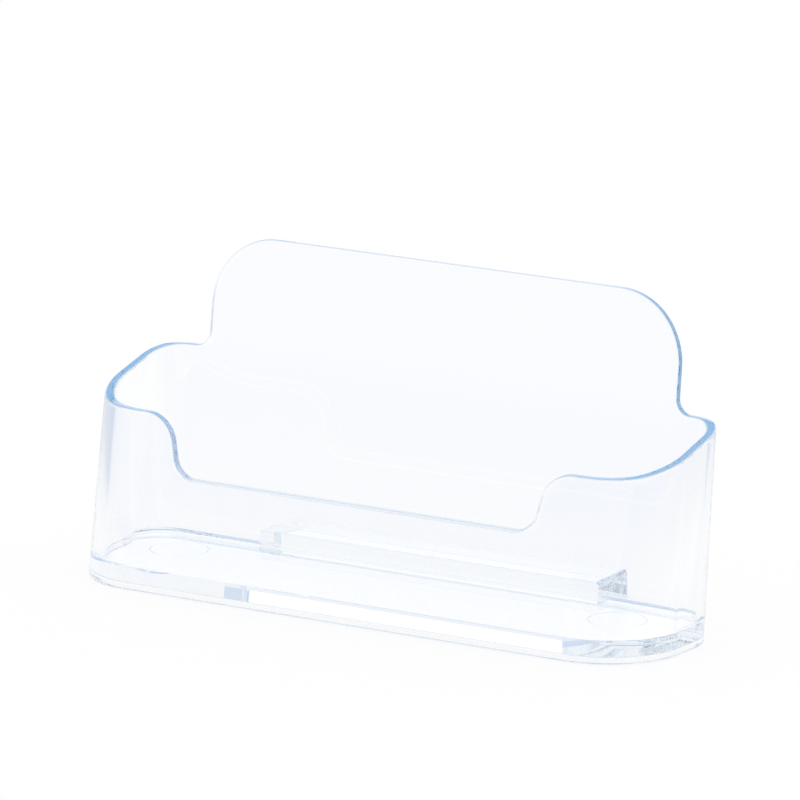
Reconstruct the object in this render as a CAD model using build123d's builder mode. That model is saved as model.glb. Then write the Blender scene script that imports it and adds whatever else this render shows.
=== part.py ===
"""Clear desk stand for business cards: a leaning pocket on a thick base, with a bar behind it.

Millimetres, +Z up, +Y to the back, +X to the right as seen from the front.
The origin is on the desk, in the middle of the stand's width and depth.
"""

import os
from math import atan2, cos, radians, tan

from build123d import *

# Overall form
width = 98.4
height = 48.4
pocket_depth = 24.6
wall = 1.9
front_lean = 8.0
back_lean = 5.9
side_draft = 1.2
pocket_draft = 0.9
front_corner = 12.2
back_corner = 7.0

# Base slab
base_height = 3.5
base_edge = 0.3
rim_width = 1.6
recess_depth = 0.9
mark_diameter = 8.7
mark_depth = 0.2
mark_spacing = 74.4
mark_from_front = 15.5

# Rim of the walls
front_shoulder = 26.35
back_shoulder = 31.4
ramp_foot_round = 12.0
ramp_head_round = 2.5
ramp_flat = 0.1

# Dip in the front wall
dip_height = 17.45
dip_width = 60.0
dip_slant = 12.8
dip_fillet = 3.4
dip_round = 5.0

# Tall back panel
panel_width = 79.8
panel_corner = 10.5
panel_root = 2.5

# Bar behind the back panel
bar_length = 57.6
bar_height = 5.1
bar_reach = 10.1
bar_draft = 5.0
bar_corner = 1.4
bar_edge = 0.8

# Spare length by which a trimming shape passes what it trims, and the straight left between two rounds
spare = 5.0
least_straight = 0.1

# Depth of the whole stand, and the place of its front edge on the desk
back_rise = tan(radians(back_lean))
bar_foot = bar_reach + bar_height * (back_rise + tan(radians(bar_draft)))
overall_depth = pocket_depth + bar_foot
front_edge = -overall_depth / 2


def front_at(z):
    """Outer face of the front wall at height z."""
    return front_edge + z * tan(radians(front_lean))


def back_at(z):
    """Outer face of the back panel at height z."""
    return front_edge + pocket_depth + z * back_rise


def draw_in_at(z):
    """How far the sides, and the corners with them, have drawn in at height z."""
    return z * tan(radians(side_draft))


def wall_at(z):
    """Thickness of the walls at height z: the pocket opens upwards, so they are thickest at its floor."""
    return wall - (z - base_height) * tan(radians(pocket_draft))


def plan(z, inset):
    """Sketches the stand's rounded plan at height z, drawn in all round by inset."""
    depth = back_at(z) - front_at(z)
    front_round = front_corner - draw_in_at(z)
    back_round = back_corner - draw_in_at(z)
    room = min(1, (depth - least_straight) / (front_round + back_round))
    with BuildSketch(Plane.XY.offset(z)) as outline:
        with Locations((0, (front_at(z) + back_at(z)) / 2)):
            Rectangle(width - 2 * (draw_in_at(z) + inset), depth - 2 * inset)
        fillet(vertices().group_by(Axis.Y)[0], front_round * room - inset)
        fillet(vertices().group_by(Axis.Y)[-1], back_round * room - inset)
    return outline.sketch


# Rising rim of the side walls, level where it meets the front wall and the back panel
inner_front = front_at(front_shoulder) + wall_at(front_shoulder)
inner_back = back_at(back_shoulder) - wall_at(back_shoulder)
ramp_angle = atan2(back_shoulder - front_shoulder, inner_back - inner_front)
ramp_foot = inner_front + ramp_foot_round * tan(ramp_angle / 2) + ramp_flat
ramp_head = inner_back - ramp_head_round * tan(ramp_angle / 2) - ramp_flat
beyond_front = front_edge - spare
beyond_back = back_at(height) + spare

# Half widths of the back panel and of the dip at its top and bottom
panel_half = panel_width / 2
panel_shoulder = panel_half + panel_root + spare
panel_room = min(1, (height - back_shoulder - least_straight) / (panel_root + panel_corner))
dip_half = dip_width / 2
dip_depth = front_shoulder - dip_height
dip_top_half = dip_half + dip_depth * tan(radians(dip_slant))
dip_shoulder = dip_top_half + dip_round
dip_side = dip_depth / cos(radians(dip_slant)) - least_straight
dip_room = min(1, dip_side / ((dip_fillet + dip_round) * tan(radians(90 - dip_slant) / 2)))

# The form that the walls are trimmed to: the side rims and the back panel's outline
with BuildPart() as rim_form:
    with BuildSketch(Plane.YZ):
        with BuildLine():
            FilletPolyline(
                (beyond_front, front_shoulder),
                (ramp_foot, front_shoulder),
                (ramp_head, back_shoulder),
                (beyond_back, back_shoulder),
                radius=[ramp_foot_round, ramp_head_round],
            )
            Polyline(
                (beyond_back, back_shoulder),
                (beyond_back, base_height),
                (beyond_front, base_height),
                (beyond_front, front_shoulder),
            )
        make_face()
    extrude(amount=width / 2 + spare, both=True)
    with BuildSketch(Plane.XZ.offset(-inner_back)):
        with BuildLine():
            FilletPolyline(
                (-panel_shoulder, back_shoulder),
                (-panel_half, back_shoulder),
                (-panel_half, height),
                (panel_half, height),
                (panel_half, back_shoulder),
                (panel_shoulder, back_shoulder),
                radius=[size * panel_room for size in (panel_root, panel_corner, panel_corner, panel_root)],
            )
            Polyline(
                (panel_shoulder, back_shoulder),
                (panel_shoulder, base_height),
                (-panel_shoulder, base_height),
                (-panel_shoulder, back_shoulder),
            )
        make_face()
    extrude(amount=-(beyond_back - inner_back))

# Ring of walls: dipped front, two sides and the tall back panel
with BuildPart() as wall_shell:
    loft([plan(base_height, 0), plan(height, 0)], ruled=True)
    loft([plan(base_height, wall), plan(height, wall_at(height))], ruled=True, mode=Mode.SUBTRACT)
    add(rim_form.part, mode=Mode.INTERSECT)
    with BuildSketch(Plane.XZ.offset(-beyond_front)):
        with BuildLine():
            FilletPolyline(
                (-dip_shoulder, front_shoulder),
                (-dip_top_half, front_shoulder),
                (-dip_half, dip_height),
                (dip_half, dip_height),
                (dip_top_half, front_shoulder),
                (dip_shoulder, front_shoulder),
                radius=[size * dip_room for size in (dip_round, dip_fillet, dip_fillet, dip_round)],
            )
            Polyline(
                (dip_shoulder, front_shoulder),
                (dip_shoulder, height),
                (-dip_shoulder, height),
                (-dip_shoulder, front_shoulder),
            )
        make_face()
    extrude(amount=-(ramp_foot - beyond_front), mode=Mode.SUBTRACT)

# Thick floor of the pocket, recessed underneath inside a narrow rim that stands on the desk
with BuildPart() as base_slab:
    loft([plan(0, 0), plan(base_height, 0)], ruled=True)
    fillet(edges().group_by(Axis.Z)[0], base_edge)
    extrude(plan(0, rim_width), amount=recess_depth, mode=Mode.SUBTRACT)
    with BuildSketch(Plane.XY.offset(recess_depth)):
        with Locations((0, front_edge + mark_from_front)):
            with GridLocations(mark_spacing, 1, 2, 1):
                Circle(mark_diameter / 2)
    extrude(amount=mark_depth, mode=Mode.SUBTRACT)

# Bar bonded to the foot of the back panel, which keeps the stand from tipping backwards
with BuildPart() as rear_foot:
    with BuildSketch(Plane.YZ):
        with BuildLine():
            Polyline(
                (back_at(0), 0),
                (back_at(bar_height), bar_height),
                (back_at(bar_height) + bar_reach, bar_height),
                (back_at(0) + bar_foot, 0),
                close=True,
            )
        make_face()
    extrude(amount=bar_length / 2, both=True)
    back_face = faces().sort_by(Axis.Y)[-1]
    fillet(back_face.edges().filter_by(Axis.X, reverse=True), bar_corner)
    top_edges = faces().sort_by(Axis.Z)[-1].edges()
    fillet(top_edges.filter_by(lambda edge: edge.center().Y > back_at(bar_height) + bar_edge), bar_edge)

wall_shell.part.label = "wall_shell"
base_slab.part.label = "base_slab"
rear_foot.part.label = "rear_foot"

os.makedirs("parts", exist_ok=True)
export_step(wall_shell.part, "parts/wall_shell.step")
export_step(base_slab.part, "parts/base_slab.step")
export_step(rear_foot.part, "parts/rear_foot.step")
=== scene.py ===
"""Clear desk stand for business cards, dressed in polished clear plastic on a white studio sweep.

The frame is in metres, +Z up, +Y to the back, +X to the right as seen from the front.
"""

from math import atan2, inf, pi, radians, tan

import bmesh
import bpy
from mathutils import Matrix, Vector


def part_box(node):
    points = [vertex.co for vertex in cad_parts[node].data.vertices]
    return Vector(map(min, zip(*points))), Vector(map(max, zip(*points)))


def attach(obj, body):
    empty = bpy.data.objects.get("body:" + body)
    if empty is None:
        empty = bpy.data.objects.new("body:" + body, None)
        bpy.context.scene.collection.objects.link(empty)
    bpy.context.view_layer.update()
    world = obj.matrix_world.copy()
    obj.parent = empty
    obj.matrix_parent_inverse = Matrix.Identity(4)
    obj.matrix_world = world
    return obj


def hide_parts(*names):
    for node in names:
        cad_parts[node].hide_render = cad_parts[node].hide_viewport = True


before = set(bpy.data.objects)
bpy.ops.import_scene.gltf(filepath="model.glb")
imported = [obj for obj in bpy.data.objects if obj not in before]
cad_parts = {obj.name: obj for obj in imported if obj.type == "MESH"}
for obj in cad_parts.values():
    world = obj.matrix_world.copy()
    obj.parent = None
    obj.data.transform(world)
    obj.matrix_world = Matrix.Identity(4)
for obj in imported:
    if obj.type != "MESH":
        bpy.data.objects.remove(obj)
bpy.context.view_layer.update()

mm = 0.001

# Form of the stand
width = 98.4 * mm
wall = 1.9 * mm
pocket_depth = 24.6 * mm
front_lean = radians(8.0)
back_lean = radians(5.9)
side_draft = radians(1.2)
pocket_draft = radians(0.9)
front_corner = 12.2 * mm
back_corner = 7.0 * mm

# Rim of the walls: level at the front, a ramp along the sides, level at the back
front_shoulder = 26.35 * mm
back_shoulder = 31.4 * mm
ramp_foot_round = 12.0 * mm
ramp_head_round = 2.5 * mm
ramp_flat = 0.3 * mm
rim_round = 0.45 * mm

# Dip in the front wall
dip_height = 17.45 * mm
dip_half = 30.0 * mm
dip_slant = radians(12.8)
dip_fillet = 3.4 * mm
dip_round = 5.0 * mm
dip_shoulder = 4.4 * mm

# Tall back panel
panel_half = 39.9 * mm
panel_corner = 10.5 * mm
panel_root = 2.3 * mm

# Base slab
foot_edge = 0.3 * mm
foot_rim = 1.6 * mm
recess_depth = 0.9 * mm
recess_edge = 0.15 * mm
mark_radius = 4.35 * mm
mark_depth = 0.2 * mm
mark_half_spacing = 37.2 * mm
mark_from_front = 15.5 * mm

# Bar behind the back panel
bar_draft = radians(5.0)
bar_corner = 1.4 * mm
bar_edge = 0.8 * mm
bond_groove = 0.3 * mm

# Hairline left between the pieces at each bond, and the drop of the pocket's floor below the bond
bond_gap = 0.02 * mm
floor_drop = 0.05 * mm

# Cuts: how far a cutter passes what it cuts, how far the dip's cutter clears the rim beside the dip, and
# how close two points are to be taken as one, after the cuts and at other times
spare = 5.0 * mm
cut_clear = 0.01 * mm
cut_merge = 0.12 * mm
tiny = 0.001 * mm

# Top of the rim: how much its faces look up, or sideways where it climbs along the panel and the dip,
# how far outside the panel it still climbs, and how far below it the corners' facets are cut level
rim_top_rise = 0.2
rim_climb_turn = 0.5
rim_climb_margin = 0.8 * mm
front_strip = 1.2 * mm
back_strip = 2.4 * mm

# Facets of the round stretches
corner_steps = 24
curve_step = 0.35 * mm
curve_least = 4
curve_most = 24
edge_steps = 6
mark_steps = 96
smooth_angle = radians(35)
flat_angle = radians(0.2)

# Clear plastic, with faint ripples and haze
plastic_ior = 1.59
plastic_tint = (0.29, 0.565, 0.83, 1)
plastic_density = 1.5
flow_scale = 60.0
flow_detail = 1.0
flow_height = 0.002 * mm
haze_scale = 900.0
haze_detail = 4.0
haze_most = 0.02

# Painted edge glow on the rim, a blue standing in for light carried along the walls: its share on the level
# stretches, where these pass into the sides, and how deep inside the wall it begins and is full
rim_painted_glow = (0.17, 0.40, 0.78, 1)
painted_glow_level_share = 0.5
painted_glow_level_half = 24.0 * mm
painted_glow_side_half = 36.0 * mm
painted_glow_from = 0.05 * mm
painted_glow_full = 0.3 * mm

# Studio: straight paths see white all round, and mirrored ones a bluish room. Past a few turns this fades,
# and paths with many turns see white again.
white = (1, 1, 1, 1)
mirror_few = 4.0
mirror_many = 14.0
light_bounces = 64

# White sweep under the stand. Each pair is where a blend begins and ends, as the square of the distance.
floor_size = 20.0
floor_white = 0.08
room_floor_near = (0.70, 0.75, 0.84, 1)
room_floor = (0.40, 0.55, 0.97, 1)
room_floor_far = (0.80, 0.90, 1.0, 1)
sweep_end = (0.009, 0.018)
near_end = (0.02, 0.12)
far_start = (0.6, 4.0)

# Room with a white card behind the stand, a dark gap over the card, a paler side and a lamp on the left.
# Each pair is where a blend begins and ends, as the share of the direction that points that way.
room_low = (0.62, 0.73, 0.93, 1)
room_high = (0.48, 0.64, 0.86, 1)
room_rise = (0.05, 0.22)
card_way = Vector((-0.5, 0.866, 0))
card_strength = 1.15
card_side = (0.84, 0.93)
card_top = (0.40, 0.44)
room_gap = (0.16, 0.38, 0.70, 1)
gap_side = (0.5, 0.7)
gap_top = (0.65, 0.8)
room_side = (0.70, 0.78, 0.88, 1)
side_way = Vector((0.5, 0.866, 0))
side_start = (0.8, 0.93)
lamp_side = (0.42, 0.52)
lamp_foot = (0.6, 0.66)
lamp_top = (0.86, 0.9)

# Camera
view_target = Vector((0.542, -2.837, 30.658)) * mm
view_azimuth = radians(31.393)
view_elevation = radians(12.91)
view_roll = radians(0.623)
view_distance = 1227.5 * mm
view_lens = 381.35
view_sensor = 36.0

# Places taken from the frame
bar_low, bar_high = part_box("rear_foot")
floor_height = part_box("base_slab")[1].z
panel_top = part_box("wall_shell")[1].z
bar_height = bar_high.z
front_edge = bar_low.y - pocket_depth


def front_at(z):
    """Outer face of the front wall at height z."""
    return front_edge + z * tan(front_lean)


def back_at(z):
    """Outer face of the back panel at height z."""
    return front_edge + pocket_depth + z * tan(back_lean)


def wall_at(z):
    """Thickness of the walls at height z."""
    return wall - (z - floor_height) * tan(pocket_draft)


def deselect():
    """Leaves object mode with nothing selected."""
    if bpy.context.object and bpy.context.object.mode != "OBJECT":
        bpy.ops.object.mode_set(mode="OBJECT")
    bpy.ops.object.select_all(action="DESELECT")


def make_active(*pieces):
    """Selects these objects alone and makes the first one active."""
    deselect()
    for piece in pieces:
        piece.select_set(True)
    bpy.context.view_layer.objects.active = pieces[0]


def edit(piece):
    """Opens a piece in edit mode, with vertices as what is selected."""
    make_active(piece)
    bpy.ops.object.mode_set(mode="EDIT")
    bpy.ops.mesh.select_mode(type="VERT")
    bpy.ops.mesh.select_all(action="DESELECT")


def select(piece, kind, wanted):
    """Selects the vertices, edges or faces of the piece being edited that pass the test."""
    bpy.ops.mesh.select_mode(type=kind)
    bpy.ops.mesh.select_all(action="DESELECT")
    mesh = bmesh.from_edit_mesh(piece.data)
    parts = {"VERT": mesh.verts, "EDGE": mesh.edges, "FACE": mesh.faces}
    for part in parts[kind]:
        part.select = wanted(part)
    mesh.select_flush_mode()
    bmesh.update_edit_mesh(piece.data)


def close_piece(piece):
    """Merges doubles, points all faces outwards and leaves edit mode."""
    bpy.ops.mesh.select_all(action="SELECT")
    bpy.ops.mesh.remove_doubles(threshold=tiny)
    bpy.ops.mesh.normals_make_consistent(inside=False)
    bpy.ops.object.mode_set(mode="OBJECT")
    return piece


def plan_face(z, inset):
    """Adds the stand's rounded plan at height z, drawn in all round by inset, as one flat face."""
    draw_in = z * tan(side_draft) + inset
    front = front_at(z) + inset
    back = back_at(z) - inset
    middle = (front + back) / 2
    deselect()
    bpy.ops.mesh.primitive_plane_add(size=1)
    plan = bpy.context.object
    plan.scale = (width - 2 * draw_in, back - front, 1)
    plan.location = (0, middle, z)
    bpy.ops.object.transform_apply(location=True, rotation=False, scale=True)
    edit(plan)
    select(plan, "VERT", lambda vert: vert.co.y < middle)
    bpy.ops.mesh.bevel(offset=front_corner - draw_in, segments=corner_steps, affect="VERTICES")
    select(plan, "VERT", lambda vert: vert.co.y > back - tiny)
    bpy.ops.mesh.bevel(offset=back_corner - draw_in, segments=corner_steps, affect="VERTICES")
    bpy.ops.object.mode_set(mode="OBJECT")
    return plan


def plan_block(name, low, high, low_inset, high_inset):
    """A closed block between the stand's plans at two heights."""
    block = plan_face(low, low_inset)
    upper = plan_face(high, high_inset)
    make_active(block, upper)
    bpy.ops.object.join()
    block.name = name
    edit(block)
    bpy.ops.mesh.select_all(action="SELECT")
    bpy.ops.mesh.delete(type="ONLY_FACE")
    bpy.ops.mesh.select_all(action="SELECT")
    bpy.ops.mesh.bridge_edge_loops()
    bpy.ops.mesh.select_all(action="SELECT")
    bpy.ops.mesh.fill_holes(sides=0)
    return close_piece(block)


def both_sides(left_half):
    """The corners of a profile: those of its left half, then their mirror images in reverse."""
    return left_half + [Vector((-corner.x, corner.y, corner.z)) for corner in reversed(left_half)]


def profile_block(name, corners, rounds, depth):
    """A closed block: corners joined by straight lines, some of them rounded, drawn out by depth."""
    deselect()
    bpy.ops.mesh.primitive_plane_add(size=1)
    block = bpy.context.object
    block.name = name
    edit(block)
    bpy.ops.mesh.select_all(action="SELECT")
    bpy.ops.mesh.merge(type="CENTER")
    bpy.ops.transform.translate(value=corners[0])
    for start, end in zip(corners, corners[1:]):
        bpy.ops.mesh.extrude_vertices_move(TRANSFORM_OT_translate={"value": end - start})
    bpy.ops.mesh.select_all(action="SELECT")
    bpy.ops.mesh.edge_face_add()
    for index, radius in rounds.items():
        corner = corners[index]
        before = corners[index - 1] - corner
        after = corners[(index + 1) % len(corners)] - corner
        turn = pi - before.angle(after)
        steps = min(curve_most, max(curve_least, round(radius * turn / curve_step)))
        select(block, "VERT", lambda vert: (vert.co - corner).length < tiny)
        bpy.ops.mesh.bevel(offset=radius * tan(turn / 2), segments=steps, affect="VERTICES")
    bpy.ops.mesh.select_all(action="SELECT")
    bpy.ops.mesh.extrude_region_move(TRANSFORM_OT_translate={"value": depth})
    return close_piece(block)


def combine(piece, operation, other):
    """Joins, trims or cuts a piece with another block, which is used up."""
    make_active(piece)
    step = piece.modifiers.new(operation, "BOOLEAN")
    step.operation = operation
    step.object = other
    step.solver = "EXACT"
    bpy.ops.object.modifier_apply(modifier=step.name)
    bpy.data.objects.remove(other)


def middle_of(edge):
    """The middle of an edge."""
    return (edge.verts[0].co + edge.verts[1].co) / 2


def is_upright(edge):
    """Whether an edge of the bar runs up rather than along."""
    return abs(edge.verts[0].co.z - edge.verts[1].co.z) > bar_height / 2


def lies_on_top(edge):
    """Whether both ends of an edge are at the top of the bar."""
    return min(vert.co.z for vert in edge.verts) > bar_height - tiny


def is_beside(face, side):
    """Whether the middle of a face is farther out than this on either side."""
    return abs(face.calc_center_median().x) > side


def is_behind(face, line):
    """Whether the middle of a face is behind this line."""
    return face.calc_center_median().y > line


def is_rim_top(face):
    """Whether a face lies across the rim, rather than on the outer or the inner side of a wall."""
    climbs = abs(face.normal.x) > rim_climb_turn and not is_beside(face, panel_half + rim_climb_margin)
    return face.normal.z > rim_top_rise or climbs


def tidy_cuts(piece):
    """Clears what the cuts leave: seams inside a flat face and points too close together to be rounded."""
    edit(piece)
    bpy.ops.mesh.select_all(action="SELECT")
    bpy.ops.mesh.remove_doubles(threshold=cut_merge)
    bpy.ops.mesh.dissolve_limited(angle_limit=flat_angle)
    close_piece(piece)


def cut_level(piece, height, wanted):
    """Cuts a level line through the faces that pass the test, so that small steps above it end there."""
    edit(piece)
    select(piece, "FACE", wanted)
    bpy.ops.mesh.bisect(plane_co=(0, 0, height), plane_no=(0, 0, 1))
    close_piece(piece)


def open_loops(mesh):
    """The vertices along each open edge loop of a mesh, in order, the leftmost edge's loop first."""
    left = [edge for edge in mesh.edges if edge.is_boundary]
    left.sort(key=lambda edge: tuple(middle_of(edge)))
    loops = []
    while left:
        loop = sorted(left.pop(0).verts, key=lambda vert: tuple(vert.co))
        while loop[-1] != loop[0]:
            ahead = [edge for edge in loop[-1].link_edges if edge in left]
            left.remove(ahead[0])
            loop.append(ahead[0].other_vert(loop[-1]))
        loops.append(loop[:-1])
    return loops


def line_up(loop, guide):
    """The loop from the place where the guide starts, and running the same way as the guide."""
    start = min(range(len(loop)), key=lambda index: (loop[index].co - guide[0].co).length)
    loop = loop[start:] + loop[:start]
    if (loop[1].co - loop[0].co).dot(guide[1].co - guide[0].co) < 0:
        loop = loop[:1] + loop[:0:-1]
    return loop


def span(first, here, second, there):
    """Distance between a vertex of one loop and a vertex of another, endless past the end of either."""
    if here < len(first) and there < len(second):
        return (first[here].co - second[there].co).length
    return inf


def relay_rim(piece):
    """Lays the top of the rim anew in strips straight across it, which can be rounded evenly."""
    edit(piece)
    select(piece, "FACE", is_rim_top)
    bpy.ops.mesh.delete(type="FACE")
    mesh = bmesh.from_edit_mesh(piece.data)
    first, second = open_loops(mesh)
    second = line_up(second, first)
    first.append(first[0])
    second.append(second[0])
    here = 0
    there = 0
    while here + 1 < len(first) or there + 1 < len(second):
        if span(first, here + 1, second, there) < span(first, here, second, there + 1):
            mesh.faces.new((first[here], first[here + 1], second[there]))
            here += 1
        else:
            mesh.faces.new((first[here], second[there + 1], second[there]))
            there += 1
    bmesh.update_edit_mesh(piece.data)
    bpy.ops.mesh.select_all(action="SELECT")
    bpy.ops.mesh.normals_make_consistent(inside=False)
    select(piece, "FACE", is_rim_top)
    bpy.ops.mesh.tris_convert_to_quads(face_threshold=smooth_angle, shape_threshold=pi)
    close_piece(piece)


def round_edges(piece, wanted, radius):
    """Rounds the sharp edges of a piece that pass the test."""
    edit(piece)
    select(piece, "EDGE", lambda edge: edge.calc_face_angle(0) > smooth_angle and wanted(edge))
    bpy.ops.mesh.bevel(offset=radius, segments=edge_steps, affect="EDGES")
    close_piece(piece)


def polish(piece):
    """Smooth shading that keeps the flat faces flat and the bond edges crisp."""
    make_active(piece)
    bpy.ops.object.shade_smooth_by_angle(angle=smooth_angle)
    step = piece.modifiers.new("flat faces", "WEIGHTED_NORMAL")
    step.keep_sharp = True
    bpy.ops.object.modifier_apply(modifier=step.name)


def make_wall_shell():
    """Ring of walls with its rising rim, dipped front and tall back panel."""
    # Leaning ring, left too tall
    foot = floor_height + bond_gap
    top = panel_top + spare
    shell = plan_block("card_walls", foot, top, 0, 0)
    below = floor_height - spare
    above = top + spare
    core = plan_block("pocket", below, above, wall_at(below), wall_at(above))
    combine(shell, "DIFFERENCE", core)

    # Rim that rises along the sides, and the tall panel
    inner_front = front_at(front_shoulder) + wall_at(front_shoulder)
    inner_back = back_at(back_shoulder) - wall_at(back_shoulder)
    slope = atan2(back_shoulder - front_shoulder, inner_back - inner_front)
    ramp_foot = inner_front + ramp_foot_round * tan(slope / 2) + ramp_flat
    ramp_head = inner_back - ramp_head_round * tan(slope / 2) - ramp_flat
    beyond_front = front_edge - spare
    beyond_back = back_at(top) + spare
    beyond_side = width / 2 + spare
    rim_form = profile_block(
        "rim_form",
        [
            Vector((-beyond_side, beyond_front, below)),
            Vector((-beyond_side, beyond_front, front_shoulder)),
            Vector((-beyond_side, ramp_foot, front_shoulder)),
            Vector((-beyond_side, ramp_head, back_shoulder)),
            Vector((-beyond_side, beyond_back, back_shoulder)),
            Vector((-beyond_side, beyond_back, below)),
        ],
        {2: ramp_foot_round, 3: ramp_head_round},
        Vector((2 * beyond_side, 0, 0)),
    )
    panel_side = panel_half + panel_root + spare
    left_panel = [
        Vector((-panel_side, inner_back, below - spare)),
        Vector((-panel_side, inner_back, back_shoulder)),
        Vector((-panel_half, inner_back, back_shoulder)),
        Vector((-panel_half, inner_back, panel_top)),
    ]
    panel_form = profile_block(
        "panel_form",
        both_sides(left_panel),
        {2: panel_root, 3: panel_corner, 4: panel_corner, 5: panel_root},
        Vector((0, beyond_back - inner_back + spare, 0)),
    )
    combine(rim_form, "UNION", panel_form)
    combine(shell, "INTERSECT", rim_form)

    # Dip in the front
    dip_brim = front_shoulder + cut_clear
    dip_top = dip_half + (dip_brim - dip_height) * tan(dip_slant)
    dip_side = dip_top + dip_shoulder
    left_dip = [
        Vector((-dip_side, beyond_front, front_shoulder + spare)),
        Vector((-dip_side, beyond_front, dip_brim)),
        Vector((-dip_top, beyond_front, dip_brim)),
        Vector((-dip_half, beyond_front, dip_height)),
    ]
    dip = profile_block(
        "dip",
        both_sides(left_dip),
        {2: dip_round, 3: dip_fillet, 4: dip_fillet, 5: dip_round},
        Vector((0, ramp_foot - beyond_front, 0)),
    )
    combine(shell, "DIFFERENCE", dip)

    # Rounded top of the rim
    tidy_cuts(shell)
    relay_rim(shell)
    corner_side = width / 2 - front_corner
    cut_level(shell, front_shoulder - front_strip, lambda face: is_beside(face, corner_side))
    cut_level(
        shell,
        back_shoulder - back_strip,
        lambda face: is_beside(face, panel_half) and is_behind(face, 0),
    )
    rim_line = dip_height - rim_round
    round_edges(shell, lambda edge: middle_of(edge).z > rim_line, rim_round)
    polish(shell)
    return shell


def make_base_slab():
    """Thick floor of the pocket, recessed underneath inside a narrow foot rim, with two round marks."""
    slab = plan_block("base_floor", 0, floor_height, 0, 0)
    edit(slab)
    select(slab, "FACE", lambda face: face.calc_center_median().z > floor_height - tiny)
    bpy.ops.mesh.inset(thickness=wall)
    bpy.ops.transform.translate(value=(0, 0, -floor_drop))
    close_piece(slab)
    round_edges(slab, lambda edge: middle_of(edge).z < tiny, foot_edge)
    edit(slab)
    select(slab, "FACE", lambda face: face.calc_center_median().z < tiny)
    bpy.ops.mesh.inset(thickness=foot_rim - foot_edge)
    bpy.ops.mesh.extrude_region_move(TRANSFORM_OT_translate={"value": (0, 0, recess_depth)})
    close_piece(slab)
    for side in (-1, 1):
        deselect()
        bpy.ops.mesh.primitive_cylinder_add(
            vertices=mark_steps,
            radius=mark_radius,
            depth=2 * mark_depth,
            location=(side * mark_half_spacing, front_edge + mark_from_front, recess_depth),
        )
        mark = bpy.context.object
        bpy.ops.object.transform_apply(location=True, rotation=False, scale=False)
        combine(slab, "DIFFERENCE", mark)
    recess_line = recess_depth + mark_depth + tiny
    round_edges(slab, lambda edge: middle_of(edge).z < recess_line, recess_edge)
    polish(slab)
    return slab


def make_rear_foot():
    """Bar behind the back panel, which keeps the stand from tipping backwards."""
    mid_depth = (bar_low.y + bar_high.y) / 2
    mid_height = bar_height / 2
    deselect()
    bpy.ops.mesh.primitive_cube_add(size=1)
    bar = bpy.context.object
    bar.name = "tip_bar"
    bar.scale = bar_high - bar_low
    bar.location = (bar_low + bar_high) / 2
    bpy.ops.object.transform_apply(location=True, rotation=False, scale=True)
    edit(bar)
    select(bar, "VERT", lambda vert: vert.co.y < mid_depth)
    bpy.ops.transform.translate(value=(0, bond_gap, 0))
    select(bar, "VERT", lambda vert: vert.co.z > mid_height and vert.co.y < mid_depth)
    bpy.ops.transform.translate(value=(0, bar_height * tan(back_lean), 0))
    select(bar, "VERT", lambda vert: vert.co.z > mid_height and vert.co.y > mid_depth)
    bpy.ops.transform.translate(value=(0, -bar_height * tan(bar_draft), 0))
    bpy.ops.object.mode_set(mode="OBJECT")
    round_edges(bar, lambda edge: is_upright(edge) and middle_of(edge).y > mid_depth, bar_corner)
    bond_line = back_at(bar_height) + 2 * bond_gap
    round_edges(bar, lambda edge: lies_on_top(edge) and middle_of(edge).y > bond_line, bar_edge)
    round_edges(bar, lambda edge: lies_on_top(edge) and middle_of(edge).y < bond_line, bond_groove)
    polish(bar)
    return bar


class Number:
    """A number in a shader: arithmetic with it adds Math nodes."""

    def __init__(self, finish, socket):
        self.finish = finish
        self.socket = socket

    def math(self, operation, first, second=0):
        """The result of one Math node."""
        made = self.finish.node("ShaderNodeMath", {"operation": operation}, {0: first, 1: second})
        return Number(self.finish, made.outputs[0])

    def __add__(self, other):
        return self.math("ADD", self, other)

    def __radd__(self, other):
        return self.math("ADD", other, self)

    def __sub__(self, other):
        return self.math("SUBTRACT", self, other)

    def __rsub__(self, other):
        return self.math("SUBTRACT", other, self)

    def __neg__(self):
        return self.math("SUBTRACT", 0, self)

    def __mul__(self, other):
        return self.math("MULTIPLY", self, other)

    def __rmul__(self, other):
        return self.math("MULTIPLY", other, self)

    def __abs__(self):
        return self.math("ABSOLUTE", self)

    def hypotenuse(self, other):
        """Length of the long side of a right triangle whose short sides are the two numbers."""
        return self.math("SQRT", self * self + other * other)

    def below(self, limit):
        """1 where the number is under the limit, else 0."""
        return self.math("LESS_THAN", self, limit)

    def at_least(self, least):
        """The larger of the two."""
        return self.math("MAXIMUM", self, least)

    def at_most(self, most):
        """The smaller of the two."""
        return self.math("MINIMUM", self, most)

    def ramp(self, start, end):
        """Rises smoothly from 0 at start to 1 at end."""
        limits = {"Value": self, "From Min": start, "From Max": end}
        return self.finish.number("ShaderNodeMapRange", {"interpolation_type": "SMOOTHSTEP"}, limits)


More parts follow.
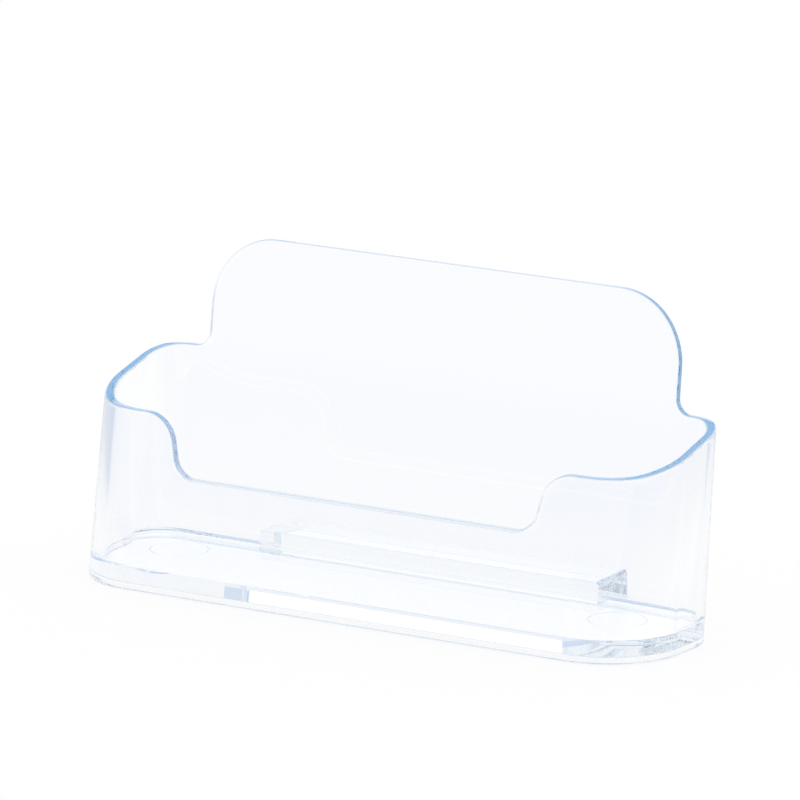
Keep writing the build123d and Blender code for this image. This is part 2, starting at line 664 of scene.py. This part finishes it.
class Finish:
    """The node tree of one material or of the world."""

    def __init__(self, owner):
        owner.use_nodes = True
        self.tree = owner.node_tree
        self.tree.nodes.clear()

    def node(self, kind, settings=None, inputs=None):
        """Adds a node, makes its settings, then sets or links its sockets."""
        made = self.tree.nodes.new(kind)
        for name, value in (settings or {}).items():
            setattr(made, name, value)
        for name, value in (inputs or {}).items():
            if isinstance(value, Number):
                value = value.socket
            if isinstance(value, bpy.types.NodeSocket):
                self.tree.links.new(value, made.inputs[name])
            else:
                made.inputs[name].default_value = value
        return made

    def number(self, kind, settings=None, inputs=None, output=0):
        """Adds a node and gives one of its outputs as a number."""
        return Number(self, self.node(kind, settings, inputs).outputs[output])

    def axes(self, vector):
        """The three numbers of a vector."""
        parts = self.node("ShaderNodeSeparateXYZ", {}, {0: vector}).outputs
        return [Number(self, part) for part in parts]

    def mix(self, share, first, second):
        """Two shaders mixed by the share of the second."""
        return self.node("ShaderNodeMixShader", {}, {0: share, 1: first, 2: second}).outputs[0]

    def blend(self, share, first, second):
        """Two colours mixed by the share of the second; these are a Mix node's colour sockets."""
        made = self.node("ShaderNodeMix", {"data_type": "RGBA"}, {0: share, 6: first, 7: second})
        return made.outputs[2]

    def light(self, kind, colour, strength=1.0):
        """A plain glowing colour."""
        return self.node(kind, {}, {"Color": colour, "Strength": strength}).outputs[0]


def bond_mask(finish, place):
    """1 on the bond faces, where the clear pieces are one and light goes straight on, else 0."""
    across, back, up = finish.axes(place)
    wall_foot = abs(up - (floor_height + bond_gap / 2)).below(bond_gap)
    bar_front = abs(back - up * tan(back_lean) - (bar_low.y + bond_gap / 2)).below(bond_gap)
    beside = (abs(across) - (bar_high.x - bar_edge)).at_least(0)
    above = (up - (bar_height - bar_edge)).at_least(0)
    outline = (beside * beside + above * above).below(bar_edge * bar_edge)
    return wall_foot.at_least(bar_front * outline * up.below(bar_height - bond_groove))


def painted_rim_glow_mask(finish, place):
    """How strong the rim's painted edge glow is: full in mid-width at the sides, none on the walls' faces.
    """
    across, back, up = finish.axes(place)
    draw_in = up * tan(side_draft)
    half_depth = (up * (tan(back_lean) - tan(front_lean)) + pocket_depth) * 0.5
    from_middle = back - up * tan(front_lean) - front_edge - half_depth
    corner = from_middle.below(0) * (front_corner - back_corner) + back_corner - draw_in
    beside_flat = abs(across) + draw_in + corner - width / 2
    beyond_flat = abs(from_middle) + corner - half_depth
    round_corner = beside_flat.at_least(0).hypotenuse(beyond_flat.at_least(0))
    flat = beside_flat.at_least(beyond_flat).at_most(0)
    depth = corner - round_corner - flat
    left = wall - (up - floor_height) * tan(pocket_draft) - depth
    over_floor = 1 - up.below(floor_height + 2 * bond_gap)
    sides = abs(across).ramp(painted_glow_level_half, painted_glow_side_half) * (1 - painted_glow_level_share) + painted_glow_level_share
    across_rim = depth.ramp(painted_glow_from, painted_glow_full) * left.ramp(painted_glow_from, painted_glow_full)
    return over_floor * across_rim * sides


def clear_plastic():
    """Polished clear polystyrene: water-clear through a wall, with painted pale blue edge glow along the
    rim.
    """
    material = bpy.data.materials.new("clear_plastic")
    finish = Finish(material)
    place = finish.node("ShaderNodeTexCoord").outputs["Object"]
    flow_wave = {"Vector": place, "Scale": flow_scale, "Detail": flow_detail}
    flow = finish.number("ShaderNodeTexNoise", {}, flow_wave)
    haze_grain = {"Vector": place, "Scale": haze_scale, "Detail": haze_detail}
    haze = finish.number("ShaderNodeTexNoise", {}, haze_grain)
    ripple = finish.node("ShaderNodeBump", {}, {"Strength": 1.0, "Distance": flow_height, "Height": flow})
    surface = finish.node(
        "ShaderNodeBsdfPrincipled",
        {},
        {
            # painted edge glow: pale blue on the rim, standing in for light carried along the walls
            "Base Color": finish.blend(painted_rim_glow_mask(finish, place), white, rim_painted_glow),
            "Roughness": haze * haze_most,
            "IOR": plastic_ior,
            "Transmission Weight": 1.0,
            "Alpha": 1 - bond_mask(finish, place),
            "Normal": ripple.outputs["Normal"],
        },
    )
    depth_tint = {"Color": plastic_tint, "Density": plastic_density}
    inside = finish.node("ShaderNodeVolumeAbsorption", {}, depth_tint)
    ends = {"Surface": surface.outputs[0], "Volume": inside.outputs[0]}
    finish.node("ShaderNodeOutputMaterial", {}, ends)
    return material


def mirror_share(finish):
    """1 on paths mirrored a few times, 0 on straight ones and on those long caught inside."""
    turns = finish.number("ShaderNodeLightPath", output="Glossy Depth")
    return turns.at_most(1) * (1 - turns.ramp(mirror_few, mirror_many))


def studio_floor():
    """White sweep with the stand's soft shadow; mirrored paths see it turn bluish farther off."""
    deselect()
    bpy.ops.mesh.primitive_plane_add(size=floor_size, location=(0, 0, -floor_drop))
    floor = bpy.context.object
    floor.name = "studio_floor"
    material = bpy.data.materials.new("white_sweep")
    finish = Finish(material)
    across, back, _ = finish.axes(finish.node("ShaderNodeTexCoord").outputs["Object"])
    reach = across * across + back * back
    paper = finish.node("ShaderNodeBsdfDiffuse", {}, {"Color": (floor_white, floor_white, floor_white, 1)})
    glow = finish.light("ShaderNodeEmission", white, 1 - floor_white)
    sweep = finish.node("ShaderNodeAddShader", {}, {0: paper.outputs[0], 1: glow}).outputs[0]
    near = finish.light("ShaderNodeEmission", room_floor_near)
    middle = finish.light("ShaderNodeEmission", room_floor)
    far = finish.light("ShaderNodeEmission", room_floor_far)
    room = finish.mix(reach.ramp(*near_end), near, middle)
    room = finish.mix(reach.ramp(*far_start), room, far)
    seen = finish.mix(mirror_share(finish) * reach.ramp(*sweep_end), sweep, room)
    finish.node("ShaderNodeOutputMaterial", {}, {"Surface": seen})
    floor.data.materials.append(material)


def studio_sky():
    """White light from all round; mirrored paths see the bluish room with its card, gap, side and lamp."""
    world = bpy.data.worlds.new("studio")
    bpy.context.scene.world = world
    finish = Finish(world)
    across, back, up = finish.axes(finish.node("ShaderNodeTexCoord").outputs["Generated"])
    to_card = across * card_way.x + back * card_way.y
    to_side = across * side_way.x + back * side_way.y
    bright = finish.light("ShaderNodeBackground", white)
    card = finish.light("ShaderNodeBackground", white, card_strength)
    low = finish.light("ShaderNodeBackground", room_low)
    high = finish.light("ShaderNodeBackground", room_high)
    gap = finish.light("ShaderNodeBackground", room_gap)
    side = finish.light("ShaderNodeBackground", room_side)
    over_card = up.ramp(*card_top)
    in_gap = to_card.ramp(*gap_side) * over_card * (1 - up.ramp(*gap_top))
    in_lamp = (-across).ramp(*lamp_side) * up.ramp(*lamp_foot) * (1 - up.ramp(*lamp_top))
    room = finish.mix(up.ramp(*room_rise), low, high)
    room = finish.mix(in_gap, room, gap)
    room = finish.mix(to_side.ramp(*side_start), room, side)
    room = finish.mix(in_lamp, room, bright)
    room = finish.mix(to_card.ramp(*card_side) * (1 - over_card), room, card)
    seen = finish.mix(mirror_share(finish), bright, room)
    finish.node("ShaderNodeOutputWorld", {}, {"Surface": seen})


def camera():
    """Camera at the photograph's place, looking down a little from the front right."""
    lens = bpy.data.cameras.new("camera")
    lens.sensor_width = view_sensor
    lens.lens = view_lens
    viewer = bpy.data.objects.new("camera", lens)
    bpy.context.scene.collection.objects.link(viewer)
    turn = Matrix.Rotation(view_azimuth, 4, "Z") @ Matrix.Rotation(pi / 2 - view_elevation, 4, "X")
    turn = turn @ Matrix.Rotation(view_roll, 4, "Z")
    viewer.matrix_world = Matrix.Translation(view_target) @ turn @ Matrix.Translation((0, 0, view_distance))
    bpy.context.scene.camera = viewer


plastic = clear_plastic()
for make, node in (
    (make_wall_shell, "wall_shell"),
    (make_base_slab, "base_slab"),
    (make_rear_foot, "rear_foot"),
):
    piece = make()
    piece.data.materials.clear()
    piece.data.materials.append(plastic)
    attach(piece, "root")
    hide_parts(node)

studio_floor()
studio_sky()
camera()
bpy.context.scene.view_settings.view_transform = "Standard"
paths = bpy.context.scene.cycles
paths.max_bounces = light_bounces
paths.transmission_bounces = light_bounces
paths.glossy_bounces = light_bounces
paths.transparent_max_bounces = light_bounces
